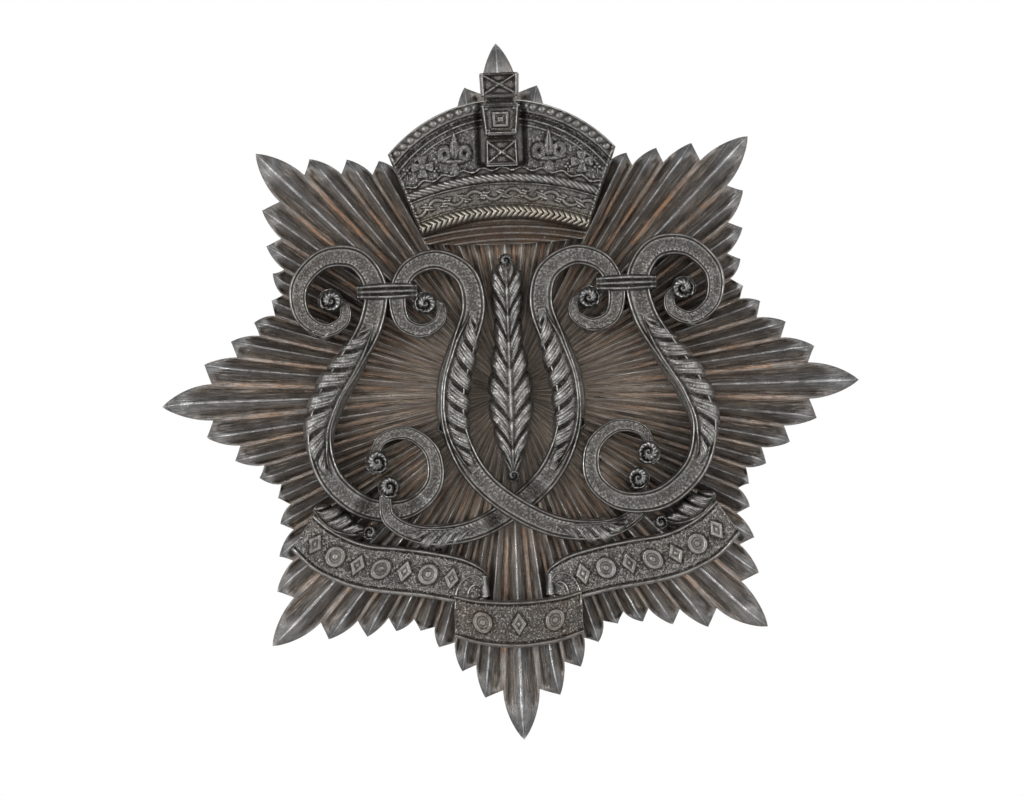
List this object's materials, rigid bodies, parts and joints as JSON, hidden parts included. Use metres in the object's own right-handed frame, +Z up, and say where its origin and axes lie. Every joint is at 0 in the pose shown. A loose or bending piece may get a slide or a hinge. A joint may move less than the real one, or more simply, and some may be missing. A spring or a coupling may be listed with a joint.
{
  "type": "cap badge",
  "caption": "Tarnished silver cap badge: a rayed star with a crown, interlaced scrollwork and a folded ribbon on its face, and pinned lugs on its back",
  "frame": {"origin": "middle of the star on the plane its back rests on, midway between the two lugs", "axes": "+Z up towards the crown, -Y out of the face towards the viewer, +Y out of the back along the lugs, +X to the viewer's right"},
  "size_m": [0.06, 0.0142, 0.06],
  "materials": {
    "silver_star": "tarnished silver, brown in the grooves",
    "silver_cast": "tarnished cast silver",
    "brass_fixings": "dull brass",
    "silver_lug": "dull silver",
    "brass_pin": "drawn brass wire"
  },
  "bodies": {
    "badge": {"star_plate": "silver_star", "crown": "silver_cast", "crown_front_arch": "silver_cast", "outer_scroll_left": "silver_cast", "outer_scroll_right": "silver_cast", "inner_scroll_left": "silver_cast", "inner_scroll_right": "silver_cast", "scroll_collars": "silver_cast", "centre_plume": "silver_cast", "ribbon_left": "silver_cast", "ribbon_right": "silver_cast", "ribbon_centre": "silver_cast", "leaf_spray_left": "silver_cast", "leaf_spray_right": "silver_cast", "crown_studs": "brass_fixings", "scroll_studs": "brass_fixings", "ribbon_studs": "brass_fixings", "stud_washers": "brass_fixings", "stud_nuts": "brass_fixings", "lug_left": "silver_lug", "lug_right": "silver_lug"},
    "split_pin": {"cotter_pin": "brass_pin"}
  },
  "joints": [
    {"name": "cotter_slide", "type": "slide", "parent": "badge", "child": "split_pin", "axis": [-1, 0, 0], "range_m": [0, 0.028]}
  ]
}
